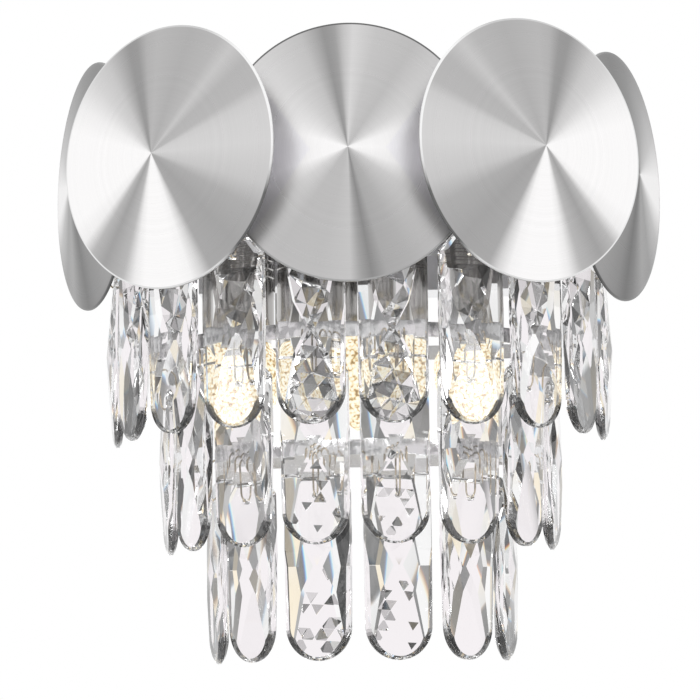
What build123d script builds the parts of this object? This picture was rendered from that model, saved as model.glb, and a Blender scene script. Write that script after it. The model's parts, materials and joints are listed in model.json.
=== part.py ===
"""Half-round crystal wall sconce: spun steel discs over three tiers of faceted crystals.

Millimetres, +Z up.  The wall is the plane Y = 0 and the light stands in front of it, towards -Y.
The origin is the centre of the wall bracket's two slotted holes.  Angles around the light are
measured from straight ahead (-Y), positive towards +X.
"""

from build123d import *
import os
from itertools import accumulate
from math import cos, pi, radians, sin, sqrt, tan

os.makedirs("parts", exist_ok=True)

# ---------------------------------------------------------------------------------------------
# Driving dimensions
# ---------------------------------------------------------------------------------------------

# Round forms that repeat are drawn with flats: this many on a disc, a lamp, a bore and a lead.
disc_flats = 44
lamp_flats = 16
bore_flats = 8
lead_flats = 6

# A band has this many flats for each crystal.  The rail has this many in its half circle, which
# puts every stud near the middle of a flat.
flats_per_crystal = 3
rail_flats = 27

# Wall bracket: a flat bar with two slots for the wall screws.
bracket_length = 124.0
bracket_height = 20.0
bracket_sheet = 1.5
slot_spacing = 70.0
slot_width = 5.0
slot_length = 15.0
cable_entry_dia = 16.0

# Housing: a shallow sheet tray, open to the wall.
housing_width = 160.0
housing_height = 90.0
housing_depth = 28.0
housing_sheet = 1.2
housing_wall_gap = 0.4
cable_hole_dia = 13.0
cable_hole_rise = 14.0

# Clamping screws from the bracket through the housing.
clamp_spacing = 100.0
clamp_screw_dia = 4.0
clamp_proud = 5.0
wall_stand_off = 0.2
screw_hole_gap = 0.15
cap_nut_across = 7.0
cap_nut_height = 7.0

# The line of the disc centres, below the bracket.
disc_axis_drop = 22.0

# Spun discs.
disc_dia = 120.0
flank_disc_dia = 122.0
disc_rise = 11.0
disc_sheet = 1.2
disc_lip = 1.2
center_disc_gap = 10.0
flank_disc_gap = 31.0
far_disc_gap = 18.5
flank_disc_angle = 33.6
far_disc_angle = 66.4

# Disc rail and the discs' studs.
rail_inset = 8.0
rail_height = 10.0
rail_sheet = 2.0
stud_dia = 5.0
stud_tail = 7.0
nut_across = 8.0
nut_thickness = 2.7
nut_seat = 0.3
thread_gap = 0.05

# Three half-round bands that carry the crystals.
upper_ring_radius = 120.0
middle_ring_radius = 94.5
lower_ring_radius = 72.0
upper_ring_drop = 27.2
tier_pitch = 53.0
ring_height = 7.0
ring_sheet = 1.2
ring_hole_dia = 2.2
ring_hole_rise = 3.8
upper_crystals = 10
middle_crystals = 8
lower_crystals = 6

# Flat bars that hang each band from the one above.
post_width = 8.0
post_sheet = 2.0
post_inset = 2.0

# Faceted crystal pendant.
crystal_length = 88.0
crystal_width = 32.0
crystal_waist = 11.0
crystal_end = 4.0
crystal_side = 4.6
crystal_ridge = 2.0
rim_flats = 10
shoulder = 8.0
glint_depth = 0.8
glint_reach = 6.3
glint_margin = 12.0
crystal_hole_drop = 9.0
crystal_hole_gap = 0.1

# Wire clip between a band and a crystal, measured along the middle of its wire.
wire_dia = 0.9
wire_flats = 4
clip_length = 20.8
clip_half_width = 4.0
clip_seat_gap = 0.06
clip_end_gap = 0.2

# Lamps.
side_lamp_x = 54.0
side_lamp_reach = 30.0
center_lamp_reach = 48.0
holder_dia = 27.0
holder_length = 55.0
socket_dia = 17.0
socket_depth = 34.0
nipple_dia = 10.0
nipple_length = 16.0
nipple_depth = 8.0
lamp_nut_across = 14.0
lamp_nut_thickness = 3.0
lamp_seat_gap = 0.3
collar_dia = 24.0
collar_length = 3.0
cap_dia = 14.0
cap_length = 24.0
contact_dia = 8.0
contact_length = 3.0
bulb_dia = 35.0
bulb_shoulder = 9.0
bulb_body = 12.0
bulb_taper = 16.0
bulb_taper_dia = 22.0
bulb_tip = 8.0
bulb_tip_dia = 8.0

# Shelf that carries the lampholders.
shelf_width = 140.0
shelf_depth = 66.0
shelf_sheet = 1.5
shelf_drop = 16.5
shelf_flange = 9.0
shelf_corner = 20.0
shelf_screw_spacing = 110.0

# Screws that hold the straps and the shelf to the housing.
strap_screw_spacing = 124.0
strap_screw_dia = 3.0
strap_head_dia = 5.6
strap_head_height = 1.8
strap_screw_tail = 3.0
strap_head_edge = 0.5

# Electrical fittings: a terminal block inside the housing, a grommet and the lamps' leads.
terminal_width = 34.0
terminal_height = 16.0
terminal_depth = 12.0
terminal_poles = 3
terminal_drop = 20.0
terminal_screw_dia = 3.0
terminal_screw_length = 2.4
terminal_screw_sink = 0.8
earth_screw_dia = 4.0
earth_head_dia = 8.0
earth_head_height = 2.4
earth_offset = 60.0
earth_edge = 11.0
grommet_bore_dia = 10.0
grommet_lip_dia = 16.0
grommet_lip_height = 1.6
grommet_seat_gap = 0.05
lead_dia = 2.4
lead_gap = 0.1
lead_pitch = 3.0
lead_tail = 6.0
lead_end = 3.0
lead_reach = 14.0

# ---------------------------------------------------------------------------------------------
# Derived places
# ---------------------------------------------------------------------------------------------

front_y = -housing_depth
disc_z = -disc_axis_drop
rail_radius = upper_ring_radius - rail_inset
ring_bottoms = [disc_z - upper_ring_drop - step * tier_pitch for step in range(3)]
shelf_z = disc_z - shelf_drop
shelf_screw_z = shelf_z + shelf_flange - strap_head_dia / 2 - strap_head_edge
earth_drop = housing_height / 2 - earth_edge

tiers = [
    ("upper", upper_ring_radius, upper_crystals, ring_bottoms[0]),
    ("middle", middle_ring_radius, middle_crystals, ring_bottoms[1]),
    ("lower", lower_ring_radius, lower_crystals, ring_bottoms[2]),
]
lamps = [
    ("left", -side_lamp_x, front_y - side_lamp_reach),
    ("center", 0.0, front_y - center_lamp_reach),
    ("right", side_lamp_x, front_y - side_lamp_reach),
]
discs = [
    ("far_left", -far_disc_angle, far_disc_gap, disc_dia),
    ("left", -flank_disc_angle, flank_disc_gap, flank_disc_dia),
    ("center", 0.0, center_disc_gap, disc_dia),
    ("right", flank_disc_angle, flank_disc_gap, flank_disc_dia),
    ("far_right", far_disc_angle, far_disc_gap, disc_dia),
]

# The clip hangs in the band's hole; its lower bend is centred on the crystal's swing axis.
wire_radius = wire_dia / 2
clip_flat = clip_half_width * tan(radians(22.5))
ring_wire_z = ring_hole_rise - ring_hole_dia / 2 + wire_radius + clip_seat_gap

# The crystal's hole clears the wire wherever the crystal swings.
waist_half = crystal_waist / 2
end_half = crystal_end / 2
side_half = crystal_side / 2
half_length = crystal_length / 2
half_width = crystal_width / 2
hole_half = end_half + (waist_half - end_half) * crystal_hole_drop / half_length
wire_inner = clip_half_width - wire_radius
wire_outer = clip_half_width / cos(radians(22.5)) + wire_radius
bore_top = -sqrt(wire_inner**2 - hole_half**2)
bore_bottom = -wire_outer
crystal_hole_z = (bore_top + bore_bottom) / 2
crystal_hole_dia = bore_top - bore_bottom + 2 * crystal_hole_gap
crystal_top = crystal_hole_z + crystal_hole_drop
crystal_mid = crystal_top - half_length
crystal_bottom = crystal_top - crystal_length

# From a band's bottom edge down to its crystals' swing axis.
clip_top = clip_length - clip_half_width
swing_drop = clip_top - ring_wire_z


strap_screw_rows = (disc_z, ring_bottoms[0] + ring_height / 2)
strap_screw_xs = (-strap_screw_spacing / 2, strap_screw_spacing / 2)
shelf_screw_xs = (-shelf_screw_spacing / 2, shelf_screw_spacing / 2)
cable_hole_z = disc_z + cable_hole_rise


def small_bore(dia, gap, mode=Mode.SUBTRACT):
    """Few-sided bore in a sketch, whose flats clear a round of the given size by the gap."""
    return RegularPolygon(dia / 2 + gap, bore_flats, major_radius=False, mode=mode)


def small_shaft(dia):
    """Few-sided shaft in a sketch, whose corners lie on a round of the given size."""
    return RegularPolygon(dia / 2, bore_flats)


def turned(stations, flats):
    """Bulging form about the Z axis in flats, through (radius, height) stations from the top."""
    flat_radii = [(radius * cos(pi / flats), height) for radius, height in stations]
    widest = max(radius for radius, _ in stations)
    bottom = stations[-1][1]
    with BuildPart() as form:
        with BuildSketch(Plane.XY.offset(bottom)):
            RegularPolygon(widest, flats)
        extrude(amount=stations[0][1] - bottom)
        for (upper_r, upper_z), (lower_r, lower_z) in zip(flat_radii, flat_radii[1:]):
            if upper_r == lower_r:
                continue
            for flat in range(flats):
                turn = 2 * pi * (flat + 0.5) / flats
                spot = (upper_r * cos(turn), upper_r * sin(turn), upper_z)
                out = upper_z - lower_z
                lean = (out * cos(turn), out * sin(turn), lower_r - upper_r)
                split(bisect_by=Plane(origin=spot, z_dir=lean), keep=Keep.BOTTOM)
    return form.part


def around(radius, angle, height):
    """Place on a circle about the light's axis, its X axis pointing outwards."""
    return Location((0, front_y, height), (0, 0, angle - 90)) * Location((radius, 0, 0))


def spread(count):
    """Angles of the crystals of a tier, one step apart and half a step from the housing."""
    step = 180.0 / count
    return [-90 + step * (place + 0.5) for place in range(count)]


# ---------------------------------------------------------------------------------------------
# Wall bracket, housing and clamping screws
# ---------------------------------------------------------------------------------------------

with BuildPart() as wall_bracket:
    with BuildSketch(Plane.XZ):
        Rectangle(bracket_length, bracket_height)
        with GridLocations(slot_spacing, 0, 2, 1):
            SlotOverall(slot_length, slot_width, mode=Mode.SUBTRACT)
        with GridLocations(clamp_spacing, 0, 2, 1):
            small_bore(clamp_screw_dia, thread_gap)
        Circle(cable_entry_dia / 2, mode=Mode.SUBTRACT)
    extrude(amount=bracket_sheet)
    corners = wall_bracket.edges().filter_by(Axis.Y).group_by(Axis.X)
    chamfer(corners[0] + corners[-1], length=bracket_height / 5)
wall_bracket.part.label = "wall_bracket"
export_step(wall_bracket.part, "parts/wall_bracket.step")

# The tray's rim stops just short of the wall, so that only the bracket bears on it.
with BuildPart() as housing:
    with BuildSketch(Plane.XZ.offset(housing_wall_gap)):
        with Locations((0, disc_z)):
            Rectangle(housing_width, housing_height)
    extrude(amount=housing_depth - housing_wall_gap)
    offset(amount=-housing_sheet, openings=housing.faces().sort_by(Axis.Y)[-1], kind=Kind.INTERSECTION)
    with BuildSketch(Plane.XZ.offset(housing_depth)):
        with GridLocations(clamp_spacing, 0, 2, 1):
            small_bore(clamp_screw_dia, screw_hole_gap, Mode.ADD)
        with Locations(*[(x, z) for z in strap_screw_rows for x in strap_screw_xs]):
            small_bore(strap_screw_dia, thread_gap, Mode.ADD)
        with Locations(*[(x, shelf_screw_z) for x in shelf_screw_xs]):
            small_bore(strap_screw_dia, thread_gap, Mode.ADD)
        with Locations((earth_offset, disc_z - earth_drop)):
            small_bore(earth_screw_dia, thread_gap, Mode.ADD)
        with Locations((0, cable_hole_z)):
            small_bore(cable_hole_dia, 0, Mode.ADD)
    extrude(amount=-2 * housing_sheet, mode=Mode.SUBTRACT)
housing.part.label = "housing"
export_step(housing.part, "parts/housing.step")

# Two machine screws threaded through the bracket; the housing hangs on them.
with BuildPart() as clamp_screws:
    with BuildSketch(Plane.XZ.offset(wall_stand_off)):
        with GridLocations(clamp_spacing, 0, 2, 1):
            small_shaft(clamp_screw_dia)
    extrude(amount=housing_depth + clamp_proud - wall_stand_off)
clamp_screws.part.label = "clamp_screws"
export_step(clamp_screws.part, "parts/clamp_screws.step")

with BuildPart() as cap_nuts:
    with BuildSketch(Plane.XZ.offset(housing_depth)):
        with GridLocations(clamp_spacing, 0, 2, 1):
            RegularPolygon(cap_nut_across / 2, 6, major_radius=False)
    extrude(amount=cap_nut_height)
    chamfer(cap_nuts.faces().group_by(Axis.Y)[0].edges(), length=cap_nut_across / 6)
    with BuildSketch(Plane.XZ.offset(housing_depth)):
        with GridLocations(clamp_spacing, 0, 2, 1):
            small_bore(clamp_screw_dia, thread_gap, Mode.ADD)
    extrude(amount=clamp_proud + thread_gap, mode=Mode.SUBTRACT)
cap_nuts.part.label = "cap_nuts"
export_step(cap_nuts.part, "parts/cap_nuts.step")

# ---------------------------------------------------------------------------------------------
# Half-round bands
# ---------------------------------------------------------------------------------------------


def half_round_strip(radius, sheet, height, bottom, flats, screwed):
    """Strip bent into a closed D: a half circle in flats and a straight back strap.

    The radius is measured to the middle of the strip.  A screwed strip has two clearance holes in
    its strap, which lies against the housing.
    """
    outer = radius + sheet / 2
    with BuildPart() as strip:
        with BuildSketch(Plane.XY.offset(bottom)):
            with Locations((0, front_y)):
                RegularPolygon(outer, 2 * flats, major_radius=False)
                RegularPolygon(outer - sheet, 2 * flats, major_radius=False, mode=Mode.SUBTRACT)
                Rectangle(3 * outer, 2 * outer, align=(Align.CENTER, Align.MIN), mode=Mode.SUBTRACT)
                Rectangle(2 * radius, sheet, align=(Align.CENTER, Align.MAX))
        extrude(amount=height)
        if screwed:
            with BuildSketch(Plane.XZ.offset(housing_depth)):
                with Locations(*[(x, bottom + height / 2) for x in strap_screw_xs]):
                    small_bore(strap_screw_dia, screw_hole_gap, Mode.ADD)
            extrude(amount=2 * sheet, mode=Mode.SUBTRACT)
    return strip.part


def outward_bores(places, dia, gap, reach):
    """Few-sided bores along the local X axis of each place, to be cut from a strip."""
    with BuildPart() as bores:
        for place in places:
            with BuildSketch(Plane(place) * Plane.YZ.offset(-reach)):
                small_bore(dia, gap, Mode.ADD)
            extrude(amount=2 * reach)
    return bores.part


for tier, radius, count, bottom in tiers:
    clip_holes = [around(radius, angle, bottom + ring_hole_rise) for angle in spread(count)]
    flats = flats_per_crystal * count
    screwed = tier == "upper"
    with BuildPart() as ring:
        add(half_round_strip(radius, ring_sheet, ring_height, bottom, flats, screwed))
        add(outward_bores(clip_holes, ring_hole_dia, 0, ring_sheet), mode=Mode.SUBTRACT)
    ring.part.label = f"ring_{tier}"
    export_step(ring.part, f"parts/ring_{tier}.step")

# Flat bars, welded inside the straps, hang the middle and lower bands.
with BuildPart() as ring_posts:
    for (_, _, _, above), (_, radius, _, below) in zip(tiers, tiers[1:]):
        post_x = radius - ring_sheet / 2 - post_inset - post_width / 2
        with BuildSketch(Plane.XY.offset(below)):
            with Locations((0, front_y - ring_sheet - post_sheet / 2)):
                with GridLocations(2 * post_x, 0, 2, 1):
                    Rectangle(post_width, post_sheet)
        extrude(amount=above + ring_height - below)
ring_posts.part.label = "ring_posts"
export_step(ring_posts.part, "parts/ring_posts.step")

# ---------------------------------------------------------------------------------------------
# Disc rail, discs and their nuts
# ---------------------------------------------------------------------------------------------

rail_bottom = disc_z - rail_height / 2
stud_holes = [around(rail_radius, angle, disc_z) for _, angle, _, _ in discs]

with BuildPart() as disc_rail:
    add(half_round_strip(rail_radius, rail_sheet, rail_height, rail_bottom, rail_flats, True))
    add(outward_bores(stud_holes, stud_dia, screw_hole_gap, rail_sheet), mode=Mode.SUBTRACT)
disc_rail.part.label = "disc_rail"
export_step(disc_rail.part, "parts/disc_rail.step")


def spun_disc(dia, gap):
    """Hollow cone of thin sheet with a flat lip, and the stud welded inside its point.

    It points along local X, and X = 0 is the middle of the rail's strip.
    """
    rim_x = upper_ring_radius + gap - rail_radius
    cone = turned([(0, disc_rise), (dia / 2 - disc_lip, 0)], disc_flats)
    with BuildPart() as disc:
        with BuildSketch(Plane.YZ.offset(rim_x)):
            RegularPolygon(dia / 2, disc_flats)
        extrude(amount=-disc_sheet)
        add(cone.moved(Location((rim_x, 0, 0), (0, 90, 0))))
        add(cone.moved(Location((rim_x - disc_sheet, 0, 0), (0, 90, 0))), mode=Mode.SUBTRACT)
        with BuildSketch(Plane.YZ.offset(-stud_tail)):
            small_shaft(stud_dia)
        extrude(amount=stud_tail + rim_x + disc_rise - disc_sheet)
    return disc.part


disc_shapes = {
    (dia, gap): spun_disc(dia, gap) for dia, gap in sorted({(dia, gap) for *_, gap, dia in discs})
}
for side, angle, gap, dia in discs:
    disc = disc_shapes[dia, gap].moved(around(rail_radius, angle, disc_z))
    disc.label = f"disc_{side}"
    export_step(disc, f"parts/disc_{side}.step")

# One nut inside the rail and one outside it on every stud.
with BuildPart() as disc_nuts:
    for face_x in (-rail_sheet / 2 - nut_seat - nut_thickness, rail_sheet / 2 + nut_seat):
        for place in stud_holes:
            with BuildSketch(Plane(place) * Plane.YZ.offset(face_x)):
                RegularPolygon(nut_across / 2, 6, major_radius=False)
                small_bore(stud_dia, thread_gap)
            extrude(amount=nut_thickness)
disc_nuts.part.label = "disc_nuts"
export_step(disc_nuts.part, "parts/disc_nuts.step")

# ---------------------------------------------------------------------------------------------
# Crystals and their wire clips
# ---------------------------------------------------------------------------------------------


def facet(a, b, c):
    """Plane through three points, facing away from the crystal's middle."""
    middle = Vector(0, 0, crystal_mid)
    normal = (Vector(*b) - Vector(*a)).cross(Vector(*c) - Vector(*a)).normalized()
    if normal.dot(Vector(*a) - middle) < 0:
        normal = -normal
    return Plane(origin=a, z_dir=normal)


def crystal_facets():
    """Facets of one pendant, front and back: X is its thickness, Y its width, Z its height."""
    side_slope = (waist_half - side_half) / (half_width - crystal_ridge / 2)
    glint_x = side_half + side_slope * glint_reach
    glint_y = half_width - glint_reach
    planes = []
    for face in (-1, 1):
        waist = (face * waist_half, 0, crystal_mid)
        for tip in (crystal_bottom, crystal_top):
            end = face * end_half
            planes.append(facet(waist, (end, 0, tip), (end, half_width, tip)))
        for hand in (-1, 1):
            ridge_y = hand * crystal_ridge / 2
            edge = (face * side_half, hand * half_width, crystal_mid)
            ridge = (face * waist_half, ridge_y, crystal_mid)
            planes.append(facet(ridge, edge, (face * waist_half, ridge_y, crystal_top)))
            for rise in (-1, 1):
                tip_z = crystal_mid + rise * (half_length - glint_margin)
                inner = (face * glint_x, hand * glint_y, crystal_mid)
                notch = (face * (side_half - glint_depth), hand * half_width, crystal_mid)
                corner = (face * side_half, hand * half_width, tip_z)
                planes.append(facet(inner, notch, corner))
    return planes


# One pendant, its swing axis at the origin.  The rounded lower end is ground in flats.
with BuildPart() as crystal:
    with BuildSketch(Plane.YZ):
        with BuildLine():
            Polyline(
                (-half_width, crystal_bottom + half_width),
                (-half_width, crystal_top - shoulder),
                (shoulder - half_width, crystal_top),
                (half_width - shoulder, crystal_top),
                (half_width, crystal_top - shoulder),
                (half_width, crystal_bottom + half_width),
                close=True,
            )
        make_face()
        with Locations((0, crystal_bottom + half_width)):
            RegularPolygon(half_width, 2 * rim_flats)
    extrude(amount=crystal_waist, both=True)
    for plane in crystal_facets():
        split(bisect_by=plane, keep=Keep.BOTTOM)
    with BuildSketch(Plane.YZ):
        with Locations((0, crystal_hole_z)):
            small_bore(crystal_hole_dia, 0, Mode.ADD)
    extrude(amount=crystal_waist, both=True, mode=Mode.SUBTRACT)

# One clip: a hairpin of wire through the crystal, its two ends meeting in the band's hole.
with BuildPart() as clip:
    with BuildLine(Plane.XZ) as clip_path:
        Polyline(
            (clip_end_gap / 2, clip_top),
            (clip_flat, clip_top),
            (clip_half_width, clip_top - clip_half_width + clip_flat),
            (clip_half_width, -clip_flat),
            (clip_flat, -clip_half_width),
            (-clip_flat, -clip_half_width),
            (-clip_half_width, -clip_flat),
            (-clip_half_width, clip_top - clip_half_width + clip_flat),
            (-clip_flat, clip_top),
            (-clip_end_gap / 2, clip_top),
        )
    with BuildSketch(Plane.YZ.offset(clip_end_gap / 2)):
        with Locations((0, clip_top)):
            RegularPolygon(wire_radius, wire_flats, rotation=180 / wire_flats)
    sweep(path=clip_path.line, transition=Transition.RIGHT)

for tier, radius, count, bottom in tiers:
    places = [around(radius, angle, bottom - swing_drop) for angle in spread(count)]
    with BuildPart() as hooks:
        for place in places:
            add(clip.part.moved(place))
    hooks.part.label = f"hooks_{tier}"
    export_step(hooks.part, f"parts/hooks_{tier}.step")
    for number, place in enumerate(places, start=1):
        pendant = crystal.part.moved(place)
        pendant.label = f"crystal_{tier}_{number}"
        export_step(pendant, f"parts/crystal_{tier}_{number}.step")

# ---------------------------------------------------------------------------------------------
# Shelf, lampholders and bulbs
# ---------------------------------------------------------------------------------------------

holder_top = shelf_z
holder_bottom = holder_top - holder_length
glass_top = holder_bottom - lamp_seat_gap - collar_length
lamp_spots = [(x, y) for _, x, y in lamps]

# The shelf's flange stands against the housing; its far corners are cut off.
with BuildPart() as lamp_shelf:
    with BuildSketch(Plane.XY.offset(shelf_z)):
        with Locations((0, front_y)):
            Rectangle(shelf_width, shelf_depth, align=(Align.CENTER, Align.MAX))
    extrude(amount=shelf_sheet)
    far_corners = lamp_shelf.edges().filter_by(Axis.Z).group_by(Axis.Y)[0]
    chamfer(far_corners, length=shelf_corner)
    with BuildSketch(Plane.XZ.offset(housing_depth)):
        with Locations((0, shelf_z)):
            Rectangle(shelf_width, shelf_flange, align=(Align.CENTER, Align.MIN))
    extrude(amount=shelf_sheet)
    with BuildSketch(Plane.XZ.offset(housing_depth)):
        with Locations(*[(x, shelf_screw_z) for x in shelf_screw_xs]):
            small_bore(strap_screw_dia, screw_hole_gap, Mode.ADD)
    extrude(amount=shelf_sheet, mode=Mode.SUBTRACT)
    with BuildSketch(Plane.XY.offset(shelf_z)):
        with Locations(*lamp_spots):
            RegularPolygon(nipple_dia / 2 + screw_hole_gap, lamp_flats, major_radius=False)
    extrude(amount=shelf_sheet, mode=Mode.SUBTRACT)
lamp_shelf.part.label = "lamp_shelf"
export_step(lamp_shelf.part, "parts/lamp_shelf.step")

# Threaded tubes hang the lampholders from the shelf and carry their leads.
with BuildPart() as nipples:
    with BuildSketch(Plane.XY.offset(holder_top - nipple_depth)):
        with Locations(*lamp_spots):
            RegularPolygon(nipple_dia / 2, lamp_flats)
            RegularPolygon(lead_dia / 2 + lead_gap, bore_flats, major_radius=False, mode=Mode.SUBTRACT)
    extrude(amount=nipple_length)
nipples.part.label = "nipples"
export_step(nipples.part, "parts/nipples.step")

with BuildPart() as nipple_nuts:
    with BuildSketch(Plane.XY.offset(shelf_z + shelf_sheet)):
        with Locations(*lamp_spots):
            RegularPolygon(lamp_nut_across / 2, 6, major_radius=False)
            RegularPolygon(
                nipple_dia / 2 + thread_gap, lamp_flats, major_radius=False, mode=Mode.SUBTRACT
            )
    extrude(amount=lamp_nut_thickness)
nipple_nuts.part.label = "nipple_nuts"
export_step(nipple_nuts.part, "parts/nipple_nuts.step")

for side, x, y in lamps:
    with BuildPart() as lampholder:
        with BuildSketch(Plane.XY.offset(holder_bottom)):
            with Locations((x, y)):
                RegularPolygon(holder_dia / 2, lamp_flats)
        extrude(amount=holder_length)
        chamfer(lampholder.faces().sort_by(Axis.Z)[-1].edges(), length=holder_dia / 12)
        with BuildSketch(Plane.XY.offset(holder_bottom)):
            with Locations((x, y)):
                RegularPolygon(socket_dia / 2, lamp_flats, major_radius=False)
        extrude(amount=socket_depth, mode=Mode.SUBTRACT)
        with BuildSketch(Plane.XY.offset(holder_top - nipple_depth)):
            with Locations((x, y)):
                RegularPolygon(nipple_dia / 2 + thread_gap, lamp_flats, major_radius=False)
        extrude(amount=nipple_depth, mode=Mode.SUBTRACT)
    lampholder.part.label = f"lampholder_{side}"
    export_step(lampholder.part, f"parts/lampholder_{side}.step")

# Screw cap, centre contact and collar of each bulb.
with BuildPart() as bulb_caps:
    for bottom, dia, length in (
        (glass_top, collar_dia, collar_length),
        (glass_top + collar_length, cap_dia, cap_length + lamp_seat_gap),
        (glass_top + collar_length + lamp_seat_gap + cap_length, contact_dia, contact_length),
    ):
        with BuildSketch(Plane.XY.offset(bottom)):
            with Locations(*lamp_spots):
                RegularPolygon(dia / 2, lamp_flats)
        extrude(amount=length)
bulb_caps.part.label = "bulb_caps"
export_step(bulb_caps.part, "parts/bulb_caps.step")


# A candle bulb's glass, from its collar down to its tip, with its top at the origin.
bulb_heights = accumulate([0, -bulb_shoulder, -bulb_body, -bulb_taper, -bulb_tip])
bulb_dias = (collar_dia, bulb_dia, bulb_dia, bulb_taper_dia, bulb_tip_dia)
glass = turned([(dia / 2, z) for dia, z in zip(bulb_dias, bulb_heights)], lamp_flats)
for side, x, y in lamps:
    bulb = glass.moved(Location((x, y, glass_top)))
    bulb.label = f"bulb_{side}"
    export_step(bulb, f"parts/bulb_{side}.step")

# ---------------------------------------------------------------------------------------------
# Screws and electrical fittings
# ---------------------------------------------------------------------------------------------

# Six pan-head screws: two in the rail's strap, two in the upper band's, two in the shelf's flange.
with BuildPart() as strap_screws:
    for z, xs, sheet in (
        (strap_screw_rows[0], strap_screw_xs, rail_sheet),
        (strap_screw_rows[1], strap_screw_xs, ring_sheet),
        (shelf_screw_z, shelf_screw_xs, shelf_sheet),
    ):
        with BuildSketch(Plane.XZ.offset(housing_depth + sheet)):
            with Locations(*[(x, z) for x in xs]):
                small_shaft(strap_head_dia)
        extrude(amount=strap_head_height)
        with BuildSketch(Plane.XZ.offset(housing_depth + sheet)):
            with Locations(*[(x, z) for x in xs]):
                small_shaft(strap_screw_dia)
        extrude(amount=-sheet - strap_screw_tail)
strap_screws.part.label = "strap_screws"
export_step(strap_screws.part, "parts/strap_screws.step")

inner_face = housing_depth - housing_sheet
with BuildPart() as earth_screw:
    with BuildSketch(Plane.XZ.offset(inner_face)):
        with Locations((earth_offset, disc_z - earth_drop)):
            small_shaft(earth_head_dia)
    extrude(amount=-earth_head_height)
    with BuildSketch(Plane.XZ.offset(inner_face)):
        with Locations((earth_offset, disc_z - earth_drop)):
            small_shaft(earth_screw_dia)
    extrude(amount=housing_sheet)
earth_screw.part.label = "earth_screw"
export_step(earth_screw.part, "parts/earth_screw.step")

# Each pole of the block has a bore for its wires from top to bottom, and a screw across it.
terminal_pitch = terminal_width / terminal_poles
terminal_y = -inner_face + terminal_depth / 2
terminal_top = disc_z - terminal_drop + terminal_height / 2
screw_face = inner_face - terminal_depth
with BuildPart() as terminal_block:
    with BuildSketch(Plane.XZ.offset(inner_face)):
        with Locations((0, terminal_top)):
            Rectangle(terminal_width, terminal_height, align=(Align.CENTER, Align.MAX))
    extrude(amount=-terminal_depth)
    with BuildSketch(Plane.XY.offset(terminal_top)):
        with Locations((0, terminal_y)):
            with GridLocations(terminal_pitch, 0, terminal_poles, 1):
                small_bore(lead_dia, lead_gap, Mode.ADD)
    extrude(amount=-terminal_height, mode=Mode.SUBTRACT)
    with BuildSketch(Plane.XZ.offset(screw_face)):
        with Locations((0, terminal_top - terminal_height / 2)):
            with GridLocations(terminal_pitch, 0, terminal_poles, 1):
                small_bore(terminal_screw_dia, thread_gap, Mode.ADD)
    extrude(amount=terminal_screw_length + terminal_screw_sink, mode=Mode.SUBTRACT)
terminal_block.part.label = "terminal_block"
export_step(terminal_block.part, "parts/terminal_block.step")

with BuildPart() as terminal_screws:
    with BuildSketch(Plane.XZ.offset(screw_face + terminal_screw_sink)):
        with Locations((0, terminal_top - terminal_height / 2)):
            with GridLocations(terminal_pitch, 0, terminal_poles, 1):
                small_shaft(terminal_screw_dia)
    extrude(amount=terminal_screw_length)
terminal_screws.part.label = "terminal_screws"
export_step(terminal_screws.part, "parts/terminal_screws.step")

# The grommet's groove holds the edge of the housing's cable hole.
with BuildPart() as cable_grommet:
    for near, far, dia in (
        (housing_depth + grommet_seat_gap, housing_depth + grommet_lip_height, grommet_lip_dia),
        (inner_face - grommet_lip_height, inner_face - grommet_seat_gap, grommet_lip_dia),
        (inner_face - grommet_lip_height, housing_depth + grommet_lip_height, cable_hole_dia),
    ):
        with BuildSketch(Plane.XZ.offset(near)):
            with Locations((0, cable_hole_z)):
                small_bore(dia, 0, Mode.ADD)
        extrude(amount=far - near)
    with BuildSketch(Plane.XZ.offset(inner_face - grommet_lip_height)):
        with Locations((0, cable_hole_z)):
            small_bore(grommet_bore_dia, 0, Mode.ADD)
    extrude(amount=housing_sheet + 2 * grommet_lip_height, mode=Mode.SUBTRACT)
cable_grommet.part.label = "cable_grommet"
export_step(cable_grommet.part, "parts/cable_grommet.step")

# One stiff lead from each lampholder, up, through the grommet and down into the block.
nipple_top = holder_top - nipple_depth + nipple_length
with BuildPart() as lamp_leads:
    for (_, x, y), pole in zip(lamps, (-1, 0, 1)):
        with BuildLine() as route:
            Polyline(
                (x, y, nipple_top - lead_tail),
                (x, y, cable_hole_z),
                (pole * lead_pitch, front_y - lead_reach, cable_hole_z),
                (pole * lead_pitch, terminal_y, cable_hole_z),
                (pole * terminal_pitch, terminal_y, terminal_top + lead_tail),
                (pole * terminal_pitch, terminal_y, terminal_top - lead_end),
            )
        with BuildSketch(Plane.XY.offset(nipple_top - lead_tail)):
            with Locations((x, y)):
                RegularPolygon(lead_dia / 2, lead_flats)
        sweep(path=route.line, transition=Transition.RIGHT)
lamp_leads.part.label = "lamp_leads"
export_step(lamp_leads.part, "parts/lamp_leads.step")
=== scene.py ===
"""Looks of the half-round crystal wall light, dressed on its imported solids."""

import json
import math
import random

import bmesh
import bpy
from bpy.props import FloatProperty, FloatVectorProperty, IntProperty, PointerProperty
from mathutils import Matrix, Vector


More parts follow.
